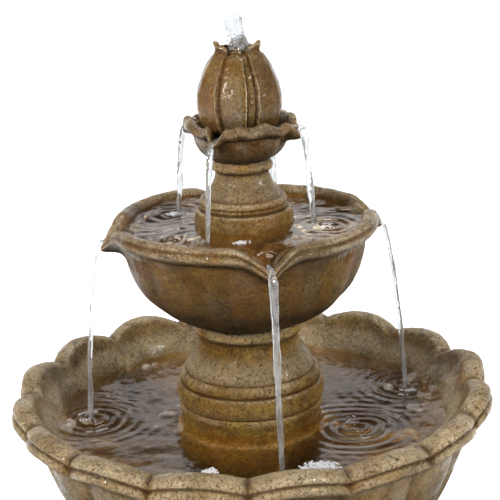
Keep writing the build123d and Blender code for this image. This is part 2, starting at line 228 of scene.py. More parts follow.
class Nodes:
    """A small wrapper that adds shader nodes and joins them."""

    def __init__(self, name):
        self.material = bpy.data.materials.new(name)
        self.material.use_nodes = True
        self.tree = self.material.node_tree
        self.tree.nodes.clear()
        self.output = self.tree.nodes.new("ShaderNodeOutputMaterial")
        self.place = self.tree.nodes.new("ShaderNodeTexCoord").outputs["Object"]

    def add(self, kind, **inputs):
        node = self.tree.nodes.new("ShaderNode" + kind)
        for key, value in inputs.items():
            self.set(node.inputs[key.replace("_", " ")], value)
        return node

    def set(self, socket, value):
        if isinstance(value, bpy.types.NodeSocket):
            self.tree.links.new(value, socket)
        elif isinstance(value, tuple) and len(value) == 3 and socket.type == "RGBA":
            socket.default_value = (*value, 1)
        else:
            socket.default_value = value

    def mark(self, name):
        node = self.tree.nodes.new("ShaderNodeAttribute")
        node.attribute_name = name
        return node.outputs["Fac"]

    def noise(self, scale, detail=3.0, roughness=0.55, stretch=None, shift=0.0):
        place = self.place
        if stretch or shift:
            mapping = self.add("Mapping", Vector=place, Location=(shift, shift, shift),
                               Scale=stretch or (1, 1, 1))
            place = mapping.outputs["Vector"]
        node = self.add("TexNoise", Vector=place, Scale=scale, Detail=detail, Roughness=roughness)
        return node.outputs["Fac"]

    def crackle(self, scale, shift, width):
        """Thin irregular lines, 1 on a line and 0 away from it."""
        bent = self.tree.nodes.new("ShaderNodeVectorMath")
        bent.operation = "MULTIPLY_ADD"
        warp = self.add("TexNoise", Vector=self.place, Scale=28.0, Detail=3.0)
        self.set(bent.inputs[0], warp.outputs["Color"])
        bent.inputs[1].default_value = (0.035, 0.035, 0.035)
        self.set(bent.inputs[2], self.place)
        node = self.add("TexVoronoi", Vector=bent.outputs["Vector"], Scale=scale, Randomness=1.0)
        node.feature = "DISTANCE_TO_EDGE"
        return self.band(node.outputs["Distance"], width, 0.0)

    def band(self, value, low, high, start=0.0, end=1.0):
        """value mapped from low..high to start..end, and held at the ends."""
        node = self.add("MapRange", Value=value, From_Min=low, From_Max=high, To_Min=start, To_Max=end)
        return node.outputs["Result"]

    def math(self, operation, a, b):
        node = self.tree.nodes.new("ShaderNodeMath")
        node.operation = operation
        node.use_clamp = operation in ("MULTIPLY", "ADD", "SUBTRACT")
        self.set(node.inputs[0], a)
        self.set(node.inputs[1], b)
        return node.outputs[0]

    def times(self, a, b):
        return self.math("MULTIPLY", a, b)

    def mix(self, amount, first, second):
        node = self.tree.nodes.new("ShaderNodeMix")
        node.data_type = "RGBA"
        self.set(node.inputs[0], amount)
        self.set(node.inputs[6], first)
        self.set(node.inputs[7], second)
        return node.outputs[2]

    def bump(self, height, distance, normal=None):
        node = self.add("Bump", Height=height, Distance=distance)
        if normal is not None:
            self.set(node.inputs["Normal"], normal)
        return node.outputs["Normal"]

    def blend(self, amount, first, second):
        mix = self.add("MixShader", Fac=amount)
        self.tree.links.new(first.outputs[0], mix.inputs[1])
        self.tree.links.new(second.outputs[0], mix.inputs[2])
        return mix

    def lit_through(self, shader, colour):
        """The shader, but with shadows only tinted by the colour."""
        shadow = self.add("LightPath").outputs["Is Shadow Ray"]
        return self.blend(shadow, shader, self.add("BsdfTransparent", Color=colour))

    def finish(self, shader):
        self.tree.links.new(shader.outputs[0], self.output.inputs["Surface"])
        return self.material


def stone(name, seed, base=OCHRE, light=GOLD, dark=0.5, gloss=0.5):
    """Cast stone with a rubbed-on ochre finish: mottled, speckled, dark in its grooves, pale on its edges.
    Its upward faces carry a painted highlight and its undersides painted shade.
    """
    n = Nodes(name)
    shift = 3.7 * seed
    patches = n.band(n.noise(9, 4, 0.6, shift=shift), 0.38, 0.64)
    clouds = n.band(n.noise(34, 4, 0.62, shift=shift + 1), 0.36, 0.66)
    drips = n.band(n.noise(30, 3, 0.6, stretch=(1, 1, 0.16), shift=shift + 2), 0.45, 0.72)
    grain = n.noise(270, 4, 0.72, shift=shift)
    specks = n.band(n.noise(380, 2, 0.6, shift=shift + 4), 0.60, 0.66)
    blots = n.band(n.noise(150, 3, 0.65, shift=shift + 5), 0.60, 0.72)
    groove, edge, wet = n.mark("groove"), n.mark("edge"), n.mark("wet")

    colour = n.mix(patches, base, light)
    colour = n.mix(n.times(clouds, dark), colour, BROWN)
    stains = n.band(n.noise(20, 5, 0.72, stretch=(1, 1, 0.38), shift=shift + 12), 0.50, 0.60)
    colour = n.mix(n.times(stains, 0.62), colour, BROWN)
    mottle = n.band(n.noise(80, 4, 0.62, shift=shift + 8), 0.50, 0.60)
    colour = n.mix(n.times(mottle, 0.45), colour, BROWN)
    colour = n.mix(n.times(drips, 0.55), colour, RUST)
    colour = n.mix(n.times(n.mark("grey"), 0.42), colour, SLATE)
    grit = n.band(grain, 0.35, 0.54, 0.12, 1.0)
    wash = n.band(n.noise(26, 5, 0.7, stretch=(1, 1, 0.45), shift=shift + 7), 0.50, 0.64)
    # This mark paints a pale wash, and on the bud's front petal a painted sheen.
    pale = n.math("ADD", n.times(wash, 0.16), n.times(n.mark("wash_and_sheen"), 0.85))
    colour = n.mix(n.times(pale, n.band(grain, 0.36, 0.52, 0.25, 1.0)), colour, ASH)
    # Pale tan on the edges is rubbed wear; on the upward faces it is a painted highlight of light from above.
    rubbed = n.band(n.noise(24, 4, 0.65, shift=shift + 10), 0.40, 0.60, 0.25, 1.0)
    worn_edges_and_lit_tops = n.times(n.math("ADD", n.times(edge, 0.80), n.times(n.mark("top"), 0.34)), rubbed)
    colour = n.mix(n.times(worn_edges_and_lit_tops, grit), colour, TAN)
    colour = n.mix(n.times(groove, 0.90), colour, BROWN)
    colour = n.mix(n.times(n.times(groove, blots), 0.9), colour, UMBER)
    colour = n.mix(n.band(grain, 0.47, 0.35, 0.0, 0.62), colour, BROWN)
    bright = n.band(grain, 0.52, 0.64, 0.0, 0.58)
    colour = n.mix(n.times(bright, n.math("SUBTRACT", 1.0, groove)), colour, light)
    colour = n.mix(n.times(specks, 0.36), colour, UMBER)
    colour = n.mix(n.times(blots, 0.32), colour, BROWN)
    cracks = n.crackle(38, shift, 0.030)
    broken = n.band(n.noise(14, 2, shift=shift + 3), 0.46, 0.60, 0.0, 0.85)
    where = n.math("ADD", n.math("ADD", edge, n.times(n.mark("top"), 0.5)), 0.16)
    colour = n.mix(n.times(n.times(cracks, broken), where), colour, UMBER)
    # Painted shade: undersides darkened towards a tenth of the base colour, in patches.
    under = n.mark("under")
    underside_shade = n.band(n.noise(26, 3, 0.6, shift=shift + 6), 0.30, 0.62, 0.60, 1.0)
    colour = n.mix(n.times(under, underside_shade), colour, tuple(0.10 * c for c in base))

    relief = n.bump(grain, 0.0075)
    relief = n.bump(n.noise(110, 5, 0.68, shift=shift), 0.0110, relief)
    dry = n.band(n.noise(60, 3, 0.6, shift=shift + 9), 0.3, 0.7, 0.50, 0.78)
    rough = n.math("SUBTRACT", dry, n.times(wet, 0.28))
    puddles = n.band(n.noise(45, 3, 0.6, shift=shift + 11), 0.38, 0.58, 0.15, gloss * 2.0)
    film = n.times(n.times(wet, puddles), n.band(under, 0.0, 0.6, 1.0, 0.1))
    shader = n.add("BsdfPrincipled", Base_Color=colour, Roughness=rough, Normal=relief, Coat_Weight=film,
                   Specular_IOR_Level=0.13, Coat_Roughness=0.045, Coat_IOR=1.27,
                   Coat_Normal=n.bump(n.noise(95, 4, shift=shift), 0.0017))
    return n.finish(shader)


def clear_water(name, tint, ripple, scale, thread_and_rim_shade=None, milky=0.15):
    """Water that bends the view and lets light through. The streak colour tints its threads and darkens its
    rims as seen, a painted shade.
    """
    n = Nodes(name)
    body = n.add("BsdfPrincipled", Base_Color=tint, Roughness=0.015, IOR=1.333, Transmission_Weight=1.0)
    n.set(body.inputs["Normal"], n.bump(n.noise(scale, 2, 0.45), ripple))
    if thread_and_rim_shade:
        threads = n.band(n.noise(300, 3, 0.6, stretch=(1, 1, 0.13)), 0.44, 0.60)
        # Painted shade: towards the rims as seen, the base colour turns to the darker streak colour.
        rim = n.add("LayerWeight", Blend=0.35).outputs["Facing"]
        thread_and_rim_mix = n.math("ADD", n.times(threads, 0.40), n.band(rim, 0.30, 0.90, 0.0, 0.95))
        n.set(body.inputs["Base Color"], n.mix(thread_and_rim_mix, tint, thread_and_rim_shade))
        n.set(body.inputs["Transmission Weight"], n.band(threads, 0.0, 1.0, 0.97, 0.97 - milky))
    return n.finish(n.lit_through(body, tint))


def froth(name):
    n = Nodes(name)
    shade = n.mix(n.band(n.noise(700, 2), 0.35, 0.65), (0.93, 0.93, 0.94), (0.66, 0.66, 0.68))
    return n.finish(n.add("BsdfPrincipled", Base_Color=shade, Roughness=0.16, IOR=1.33,
                          Transmission_Weight=0.55))


def film(name):
    """A bubble's skin: nearly invisible from straight on and painted pale at its rim, a painted reflection.
    """
    n = Nodes(name)
    rim = n.add("LayerWeight", Blend=0.5).outputs["Facing"]
    swirl = n.band(n.noise(200, 2), 0.35, 0.65, 0.0, 0.05)
    skin = n.add("BsdfPrincipled", Base_Color=(0.80, 0.77, 0.70), Roughness=0.05, Specular_IOR_Level=1.0)
    through = n.add("BsdfTransparent", Color=(0.98, 0.98, 0.98))
    # Painted reflection: a pale glossy skin blended in towards the rim as seen.
    return n.finish(n.blend(n.math("ADD", swirl, n.band(rim, 0.50, 0.92, 0.03, 0.62)), through, skin))


def moulded(name, colour, dark, rough, scale=900.0, depth=0.0002):
    """Moulded plastic, rubber or foam: a fine-grained, slightly uneven surface."""
    n = Nodes(name)
    shade = n.mix(n.band(n.noise(24, 3), 0.35, 0.65), colour, dark)
    uneven = n.band(n.noise(140, 3), 0.3, 0.7, rough - 0.07, rough + 0.07)
    relief = n.bump(n.noise(scale, 3), depth)
    return n.finish(n.add("BsdfPrincipled", Base_Color=shade, Roughness=uneven, Normal=relief))


def metal(name, colour, dark, rough, stretch):
    """Turned or brushed metal, with marks drawn out along one direction."""
    n = Nodes(name)
    marks = n.noise(260, 4, 0.6, stretch=stretch)
    shade = n.mix(n.band(n.noise(40, 3), 0.4, 0.7), colour, dark)
    uneven = n.band(marks, 0.3, 0.7, rough - 0.1, rough + 0.12)
    return n.finish(n.add("BsdfPrincipled", Base_Color=shade, Metallic=1.0, Roughness=uneven,
                          Normal=n.bump(marks, 0.00015)))


def vinyl(name):
    n = Nodes(name)
    haze = n.band(n.noise(55, 3), 0.3, 0.7, 0.10, 0.24)
    body = n.add("BsdfPrincipled", Base_Color=(0.86, 0.90, 0.88), Roughness=haze, IOR=1.45,
                 Transmission_Weight=0.85)
    return n.finish(n.lit_through(body, (0.9, 0.92, 0.9)))


# --- Castings ---

def facing(angle, directions):
    """For each angle, how far round it lies from the nearest direction, in radians."""
    gaps = [np.abs((angle - d + math.pi) % TAU - math.pi) for d in directions]
    return np.min(gaps, axis=0)


def eased(value, low, high):
    t = np.clip((value - low) / (high - low), 0, 1)
    return t * t * (3 - 2 * t)


def petal_wave(angle):
    return np.abs(np.sin(PETALS * (angle - FRONT) / 2)) ** 0.85


def wandering(angle):
    """How much larger or smaller than the rest the petal at an angle is."""
    return 1 + 0.12 * np.sin(3 * angle + 1) + 0.10 * np.sin(7 * angle)


def basin():
    """Sixteen petals that bulge and rise, with a groove between the rim's roll and its lower band."""
    profile = outline(
        (9, [(0.1, -245), (76, -245)]),
        (6, [(76, -245), (76, -251)]),
        (7, [(76, -251), (83, -251)]),
        (6, [(83, -251), (83, -245)]),
        (9, [(83, -245), (112, -245)]),
        (5, [(112, -245), (178, -222), (221, -190), (254, -140), (276, -80), (288, -38)]),
        (2.4, [(288, -38), (294, -31), (303, -27.5)]),
        (2.2, [(303, -27.5), (311, -26), (317, -20), (316.5, -13), (312.5, -9)]),
        (2.2, [(312.5, -9), (315, -5), (313, 0), (306, 4), (298, 5), (290, 2), (285, -5)]),
        (3.2, [(285, -5), (279, -13), (269, -22), (261, -32), (254, -48)]),
        (7, [(254, -48), (246, -90), (230, -150), (191, -197), (150, -214)]),
        (9, [(150, -214), (82, -215)]),
        (6, [(82, -215), (82, -209)]),
        (7, [(82, -209), (75, -209)]),
        (6, [(75, -209), (75, -215)]),
        (9, [(75, -215), (0.1, -215)]),
    )

    def shape(r, z, angle):
        wave = petal_wave(angle)
        inner = np.arange(len(r))[:, None] > np.argmax(profile[:, 1])
        height = z / MM
        bulge = np.where(inner, 3 + 8 * eased(height, -150, 0), 3 + 10 * eased(height, -235, -30))
        bulge = np.where((r < 0.16) & inner, 0, np.where(r < 0.115, 0, bulge))
        wander = wandering(angle)
        r = r + bulge * wander * wave * MM
        lift = eased(height, -60, -24)
        z = z + lift * (13.5 * wave * wander - 1.2 + 1.0 * np.sin(5 * angle + 2)) * MM
        return r, z, angle

    def wet(r, z, angle):
        inside = (r < 0.300) & (z > RIM_Z - 0.09)
        return np.where(inside, 0.75, np.where(z > RIM_Z - 0.03, 0.72, 0.12))

    def wash_and_sheen(r, z, angle):
        wall = 0.62 * eased(z, -40, -34) * (1 - eased(z, -8, 0))
        return np.where((r > 0.240) & (r < 0.300), wall, 0.30 * (r > 0.290) * eased(z, -6, 3))

    material = stone("stone_basin", 1, base=(0.205, 0.128, 0.038), light=(0.340, 0.220, 0.066), dark=0.50)
    piece = turned("basin_stone", "root", material, profile, RIM_Z, 640, shape, 1.25, 11, wet, wash_and_sheen)
    grey_below_rim(piece, RIM_Z - 27 * MM, RIM_Z - 60 * MM)
    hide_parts("lower_bowl")


def grey_below_rim(piece, start, end):
    """Marks the dull outer wall, which carries less of the ochre finish than the rim."""
    mesh = piece.data
    co = np.empty(len(mesh.vertices) * 3)
    mesh.vertices.foreach_get("co", co)
    co = co.reshape(-1, 3)
    radius = np.hypot(co[:, 0], co[:, 1])
    outside = radius > 0.262 + 0.35 * np.clip(co[:, 2] - (RIM_Z - 0.15), -0.3, 0.1)
    grey = np.clip((start - co[:, 2]) / (start - end), 0, 1) * outside
    layer = mesh.attributes.new("grey", "FLOAT", "POINT")
    layer.data.foreach_set("value", grey.astype(np.float32))


def lower_column():
    profile = outline(
        *straight(8, (83, -215), (103, -215), (103, -62)),
        (2.5, [(103, -62), (96.5, -50), (94.5, -38), (96, -24), (98.6, -14), (98.2, -9)]),
        (1.2, [(98.2, -9), (96.6, -7.5), (98.6, -5.5)]),
        (2.2, [(98.6, -5.5), (100.6, 2), (100.4, 10), (98.9, 18)]),
        (1.3, [(98.9, 18), (97.6, 20.4), (95.2, 21)]),
        (1.3, [(95.2, 21), (94.2, 22.5), (95.0, 24.5)]),
        (1.8, [(95.0, 24.5), (95.2, 29), (93.4, 34), (89.8, 36.6)]),
        (1.3, [(89.8, 36.6), (88.0, 37.4), (87.6, 39.5)]),
        (2.0, [(87.6, 39.5), (84.5, 48), (77, 56.5), (71, 65), (68, 75), (67.6, 82), (69.6, 88.5)]),
        (1.4, [(69.6, 88.5), (72.5, 90.5), (75.2, 94.5), (75.2, 98.5), (72.5, 103), (68.5, 105)]),
        (4, [(68.5, 105), (54, 105)]),
        *straight(8, (54, 105), (54, 66), (83, 26)),
        (9, [(83, 26), (83, -215)]),
    )

    def shape(r, z, angle):
        across = facing(angle, [0, TAU / 4, TAU / 2, -TAU / 4]) * r / (16 * MM)
        arch = np.where(across < 1, (-205 + 16 * np.sqrt(np.clip(1 - across**2, 0, 1))) * MM, -215 * MM)
        return r, np.where(z < arch, arch + 0.02 * (z - arch), z), angle

    material = stone("stone_lower_column", 2, light=(0.42, 0.255, 0.045), dark=0.42)

    def wet(r, z, angle):
        splashed = 0.35 + 0.35 * layered(np.stack([r * np.cos(angle), r * np.sin(angle), z], -1), 0.05, 3, 2)
        return np.clip(splashed + 0.5 * eased(RIM_Z - 0.010 - z, 0, 0.02), 0, 1)

    piece = turned("lower_column_stone", "middle_tier", material, profile, RIM_Z, 480, shape, 0.85, 21, wet,
                   lambda r, z, angle: 0.75 * eased(z, 36, 41) * (1 - eased(z, 56, 74)))
    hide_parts("lower_column")


def lip_shape(rim_z, directions, fade, drop, reach, width, flare=0.0):
    """Bends a bowl's rim out and down to a point in each direction, and makes its roll thinner there."""
    def shape(r, z, angle):
        turn = facing(angle, directions)
        across = turn * r / width
        near = np.clip(1 - across, 0, 1)
        height = eased(z, rim_z - fade, rim_z)
        dip = near**1.9
        out = near**2.2
        shoulder = np.exp(-((across - 0.36) / 0.20) ** 2) * flare
        z = z + height * (shoulder - drop * dip)
        r = r + height * reach * out
        return r, z, angle
    return shape


def crowded(columns, directions, spread, gain):
    """Column angles that stand closer together near each direction."""
    t = np.linspace(0, TAU, 7200, endpoint=False)
    density = 1 + gain * np.exp(-(facing(t, directions) / spread) ** 2)
    total = np.concatenate([[0], np.cumsum(density)])
    marks = np.linspace(0, total[-1], columns, endpoint=False)
    return np.interp(marks, total, np.linspace(0, TAU, 7201))


def middle_bowl():
    profile = outline(
        *straight(6, (13, 105), (46, 105), (46, 99), (53, 99), (53, 105), (66, 105)),
        (3, [(66, 105), (81, 110.5), (100, 119), (118, 131), (138, 150), (150.5, 173), (158, 198),
             (162, 219)]),
        (1.8, [(162, 219), (164.5, 225.5), (168.5, 228.5)]),
        (1.6, [(168.5, 228.5), (174, 230), (178, 235), (178, 240.5), (175.5, 243.5)]),
        (1.6, [(175.5, 243.5), (176, 247), (171, 250.5), (163, 250.5), (157.5, 246), (155.5, 239)]),
        (3, [(155.5, 239), (151.5, 222), (147, 202), (139, 178)]),
        (5, [(139, 178), (125, 158), (100, 138), (76, 121)]),
        *straight(6, (76, 121), (51, 121), (51, 127), (44, 127), (44, 121), (13, 121), (13, 105)),
    )
    bend = lip_shape(251 * MM, MIDDLE_LIPS, 56 * MM, 28 * MM, 17 * MM, 50 * MM)

    def shape(r, z, angle):
        angle = np.repeat(crowded(r.shape[1], MIDDLE_LIPS, 0.16, 2.2)[None, :], len(r), 0)
        height = z / MM
        crease = np.exp(-(facing(angle, [d + 0.55 for d in MIDDLE_LIPS]) / 0.10) ** 2)
        crease += np.exp(-(facing(angle, [d - 0.62 for d in MIDDLE_LIPS]) / 0.12) ** 2)
        outside = np.arange(len(r))[:, None] < np.argmax(profile[:, 0])
        body = eased(height, 110, 140) * (1 - eased(height, 196, 224)) * outside
        r = r - 3.4 * MM * crease * body + 1.6 * MM * np.sin(8 * angle + 1) * body
        z = z + 1.1 * MM * np.sin(3 * angle + 1) * eased(height, 200, 245)
        return bend(r, z, angle)

    def wet(r, z, angle):
        rim = z > MIDDLE_RIM_Z - 0.032
        return np.where(rim, 0.85, 0.18 + 0.3 * (facing(angle, MIDDLE_LIPS) < 0.3))

    material = stone("stone_middle_bowl", 3, base=(0.085, 0.043, 0.006), light=(0.215, 0.122, 0.016),
                     dark=0.55)
    piece = turned("middle_bowl_stone", "middle_tier", material, profile, RIM_Z, 720, shape, 1.0, 31, wet)
    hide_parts("middle_bowl")


def upper_column():
    profile = outline(
        (6, [(52, 121), (65, 121)]),
        (5, [(65, 121), (65, 232)]),
        (1.8, [(65, 232), (65.9, 240), (65.8, 250), (63.8, 258.5)]),
        (1.2, [(63.8, 258.5), (62.6, 260.6), (59.6, 261.2)]),
        (1.3, [(59.6, 261.2), (57.4, 263), (58.2, 265.6)]),
        (1.2, [(58.2, 265.6), (57.0, 267.6), (57.8, 269.6)]),
        (1.3, [(57.8, 269.6), (58.0, 273), (55.5, 276), (51.6, 277.2)]),
        (1.8, [(51.6, 277.2), (48.6, 281.5), (42.5, 290), (38, 300), (35.5, 309), (35.4, 312)]),
        (1.2, [(35.4, 312), (38.6, 313.6), (40.8, 317), (40.6, 321.5), (37.6, 325), (35.4, 326)]),
        (3, [(35.4, 326), (26, 327)]),
        (5, [(26, 327), (26, 296)]),
        (6, [(26, 296), (50, 254)]),
        (8, [(50, 254), (52, 121)]),
    )

    def shape(r, z, angle):
        seam = np.exp(-(facing(angle, [FRONT - 0.06]) / 0.018) ** 2)
        return r + 0.8 * MM * seam * (r > 0.030), z, angle

    material = stone("stone_upper_column", 4, light=(0.38, 0.230, 0.042), dark=0.45)
    piece = turned("upper_column_stone", "top_tier", material, profile, RIM_Z, 320, shape, 0.8, 41,
                   lambda r, z, angle: np.clip(0.45 + 0.8 * eased(MIDDLE_WATER_Z + 0.012 - z, 0, 0.02), 0, 1),
                   lambda r, z, angle: 0.65 * eased(z, 272, 284) * (1 - eased(z, 300, 322)))
    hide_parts("upper_column")


def top_bowl():
    profile = outline(
        (3, [(13, 327), (17, 327)]),
        (6, [(17, 327), (17, 321)]),
        (7, [(17, 321), (24, 321)]),
        (6, [(24, 321), (24, 327)]),
        (3, [(24, 327), (34, 327)]),
        (1.8, [(34, 327), (41, 329), (48, 334), (54, 341), (58.5, 349), (61, 357), (62.5, 362)]),
        (1.2, [(62.5, 362), (64.5, 363.2), (69, 365), (73.2, 369), (73.8, 374.5), (70.5, 378.8), (64.5, 380),
               (59, 376)]),
        (1.8, [(59, 376), (56, 369), (53, 358), (47, 346), (36, 337)]),
        (3, [(36, 337), (13, 337)]),
        (4, [(13, 337), (13, 327)]),
    )
    bend = lip_shape(379 * MM, TOP_LIPS, 34 * MM, 14 * MM, 15 * MM, 30 * MM, 8 * MM)

    def shape(r, z, angle):
        angle = np.repeat(crowded(r.shape[1], TOP_LIPS, 0.28, 2.0)[None, :], len(r), 0)
        height = z / MM
        frill = 2.8 * np.sin(4 * (angle - TOP_LIPS[0]) - 1.4) + 2.4 * np.sin(11 * angle + 0.6)
        z = z + eased(height, 356, 374) * frill * MM
        seam = np.exp(-(facing(angle, [FRONT - 0.06]) / 0.014) ** 2)
        outside = np.arange(len(r))[:, None] < np.argmax(profile[:, 0])
        r = r + outside * (0.8 * seam + 1.4 * np.sin(8 * angle + 2) * (1 - eased(height, 350, 368))) * MM
        return bend(r, z, angle)

    material = stone("stone_top_bowl", 5, base=(0.085, 0.040, 0.007), light=(0.190, 0.105, 0.018), dark=0.58)
    piece = turned("top_bowl_stone", "top_tier", material, profile, RIM_Z, 560, shape, 0.75, 51,
                   lambda r, z, angle: np.where(z > TOP_RIM_Z - 0.018, 0.95, 0.45),
                   lambda r, z, angle: 0.55 * (facing(angle, [FRONT - 0.95]) < 0.42) * (z < 366))
    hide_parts("top_bowl")


# Where the bud's petals overlap: an edge's place in degrees from the front towards +X, and how proud it
# stands in millimetres. A negative one stands proud on its other side.
BUD_EDGES = [(-100, -2.6), (-61, -3.0), (-27, 3.8), (9, 3.2), (24, -2.8), (64, 3.0), (105, 2.8), (150, -2.8),
             (-150, 2.6)]


def front_petal_sheen(r, z, angle):
    """The front petal's face is painted paler than the petals beside it, a painted sheen of the light on its
    face.
    """
    degrees = np.degrees((angle - FRONT + math.pi) % TAU - math.pi)
    across = eased(degrees, -27, -23) * (1 - eased(degrees, 2, 8))
    return 0.42 * across * eased(z, 352, 372) * (1 - eased(z, 425, 452))


def bud():
    profile = outline(
        (4, [(9, 337), (29, 337)]),
        (4, [(29, 337), (29, 350), (40, 356)]),
        (1.6, [(40, 356), (47, 368), (52.5, 382), (55.3, 396), (55.4, 408), (53.5, 420), (49.2, 433),
               (43.6, 446), (37.2, 457), (31.5, 466), (29.0, 470.5)]),
        (1.0, [(29.0, 470.5), (28.6, 473.5), (29.8, 476.5), (30.2, 479), (28.4, 481), (25.6, 479.5)]),
        (1.6, [(25.6, 479.5), (23, 474), (20, 462), (14, 453), (9, 452)]),
        (8, [(9, 452), (9, 337)]),
    )

    def shape(r, z, angle):
        height = z / MM
        degrees = np.degrees((angle - FRONT + math.pi) % TAU - math.pi)
        twist = 5 * np.sin((height - 356) / 115 * math.pi) + 0.06 * (height - 400)
        step = np.zeros_like(r)
        for place, proud in BUD_EDGES:
            lean = 0.5 * twist * (1 if place > 0 else -1)
            away = (degrees - place - lean + 180) % 360 - 180
            away = away if proud > 0 else -away
            crest = np.exp(-np.abs(away) / 15) * (away <= 0)
            step += 1.3 * abs(proud) * (crest - 0.9 * np.exp(-away / 3.0) * (away > 0))
        body = eased(height, 350, 372) * (1 - 0.45 * eased(height, 455, 474))
        outer = r > 0.0262
        r = r + (step - 1.2) * body * outer * MM
        knob = sum(np.exp(-(((degrees - place + 180) % 360 - 180) / 24) ** 2) for place in (-74, 70, 178))
        knob = np.clip(knob, 0, 1)
        curl = eased(height, 462, 479)
        split = sum(np.exp(-(((degrees - place + 180) % 360 - 180) / 6) ** 2) for place, _ in BUD_EDGES)
        z = z + curl * (3.0 * knob - 6.0 * (1 - knob) - 3.2 * np.clip(split, 0, 1)) * MM
        r = r + curl * outer * (1.8 * knob - 5.0 * (1 - knob)) * MM
        return r, z, angle

    material = stone("stone_bud", 6, base=(0.125, 0.060, 0.005), light=(0.235, 0.128, 0.010), dark=0.55,
                     gloss=1.0)
    piece = turned("bud_stone", "bud", material, profile, RIM_Z, 480, shape, 0.55, 61,
                   lambda r, z, angle: np.full(r.shape, 1.0), front_petal_sheen)
    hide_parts("finial")


def pedestal():
    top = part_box("base_pedestal")[1].z / MM
    profile = outline(
        (6, [(148, 0), (170, 0)]),
        (4, [(170, 0), (170, 26)]),
        (2, [(170, 26), (162, 32)]),
        (2.4, [(162, 32), (160.5, 44), (156, 54), (150, 60)]),
        (3, [(150, 60), (150, 68)]),
        (3.4, [(150, 68), (118, 84), (98, 122), (92, 158)]),
        (1.8, [(92, 158), (99, 160.5), (103, 166), (99, 171.5), (92, 174)]),
        (4.5, [(92, 174), (106, 224), (110, 262), (98, 310), (86, 356)]),
        (1.8, [(86, 356), (98, 360), (102, 369), (97, 378), (92, 382)]),
        (2.6, [(92, 382), (98, 402), (116, 422), (118, top)]),
        (6, [(118, top), (84, top)]),
        *straight(9, (84, top), (84, 420), (73, 382), (73, 330)),
        (9, [(73, 330), (86, 262), (78, 174)]),
        (9, [(78, 174), (80, 122), (134, 62)]),
        (9, [(134, 62), (148, 0)]),
    )

    def shape(r, z, angle):
        behind = np.clip(1 - (facing(angle, [-FRONT]) * r / 0.022) ** 2, 0, 1)
        z = z + 22 * MM * np.sqrt(behind) * (z < 0.020) * (1 - z / 0.022)
        flute = np.abs(np.sin(6 * angle)) ** 0.8
        belly = eased(z, 0.178, 0.23) * (1 - eased(z, 0.31, 0.352)) * (r > 0.088)
        return r + 5 * MM * (flute - 0.75) * belly, z, angle

    material = stone("stone_pedestal", 7, base=(0.21, 0.125, 0.036), light=(0.33, 0.205, 0.060), dark=0.46)
    piece = turned("pedestal_stone", "root", material, profile, 0.0, 480, shape, 1.2, 71,
                   lambda r, z, angle: np.full(r.shape, 0.12))
    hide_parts("base_pedestal")


# --- Pump and plumbing, which keep their CAD shapes ---

def finish_pump():
    plastic = moulded("black_plastic", (0.020, 0.022, 0.025), (0.040, 0.042, 0.046), 0.38)
    rubber = moulded("black_rubber", (0.017, 0.017, 0.018), (0.030, 0.029, 0.028), 0.62, 500, 0.0004)
    sponge = moulded("filter_sponge", (0.030, 0.032, 0.036), (0.006, 0.006, 0.007), 0.92, 260, 0.003)
    steel = metal("stainless_steel", (0.60, 0.61, 0.62), (0.47, 0.48, 0.49), 0.26, (1, 1, 9))
    brass = metal("aged_brass", (0.66, 0.45, 0.17), (0.33, 0.22, 0.09), 0.33, (1, 1, 7))
    copper = metal("copper_winding", (0.72, 0.30, 0.13), (0.42, 0.15, 0.06), 0.30, (1, 1, 40))
    laminations = metal("steel_laminations", (0.30, 0.30, 0.31), (0.16, 0.15, 0.15), 0.42, (1, 60, 1))
    ceramic = moulded("ceramic_shaft", (0.78, 0.76, 0.71), (0.68, 0.66, 0.60), 0.22, 800, 0.0001)
    ferrite = moulded("ferrite", (0.045, 0.045, 0.048), (0.085, 0.083, 0.082), 0.48, 700, 0.0002)
    clear = vinyl("clear_vinyl")
    finishes = [
        (clear, ["riser_tube"]), (brass, ["jet_nozzle"]), (steel, ["hose_clamp", "clamp_screw"]),
        (rubber, ["cord_stopper", "middle_grommet", "top_grommet", "volute_seal", "suction_feet",
                  "shaft_bushes"]),
        (plastic, ["cable_gland", "pump_housing", "volute_cover", "pump_cover", "flow_control",
                   "outlet_adapter", "impeller"]),
        (sponge, ["filter_sponge"]), (laminations, ["stator_core"]), (copper, ["stator_coils"]),
        (ferrite, ["rotor_magnet"]), (ceramic, ["rotor_shaft"]),
    ]
    for material, names in finishes:
        for name in names:
            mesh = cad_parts[name].data
            mesh.materials.clear()
            mesh.materials.append(material)


# --- Water ---

RIPPLE_LENGTH = 0.0165
RIPPLE_REACH = 0.030
POOL_TINT = (0.81, 0.69, 0.50)


def ripples(x, y, sources, seed, height, chop):
    """Waves that spread from each source, given as x, y, strength, over a slightly uneven surface."""
    z = np.zeros_like(x)
    for sx, sy, strength in sources:
        away = np.hypot(x - sx, y - sy)
        waves = np.cos(away / RIPPLE_LENGTH * TAU) * np.exp(-away / RIPPLE_REACH)
        z += strength * height * waves * eased(away, 0, 0.012)
    here = np.stack([x, y * 0.75, np.zeros_like(x)], -1)
    swells = 1.6 * noise(here, 0.044, seed) + 0.7 * noise(here, 0.021, seed + 2)
    return z + chop * (swells + 0.16 * noise(here, 0.010, seed + 4))


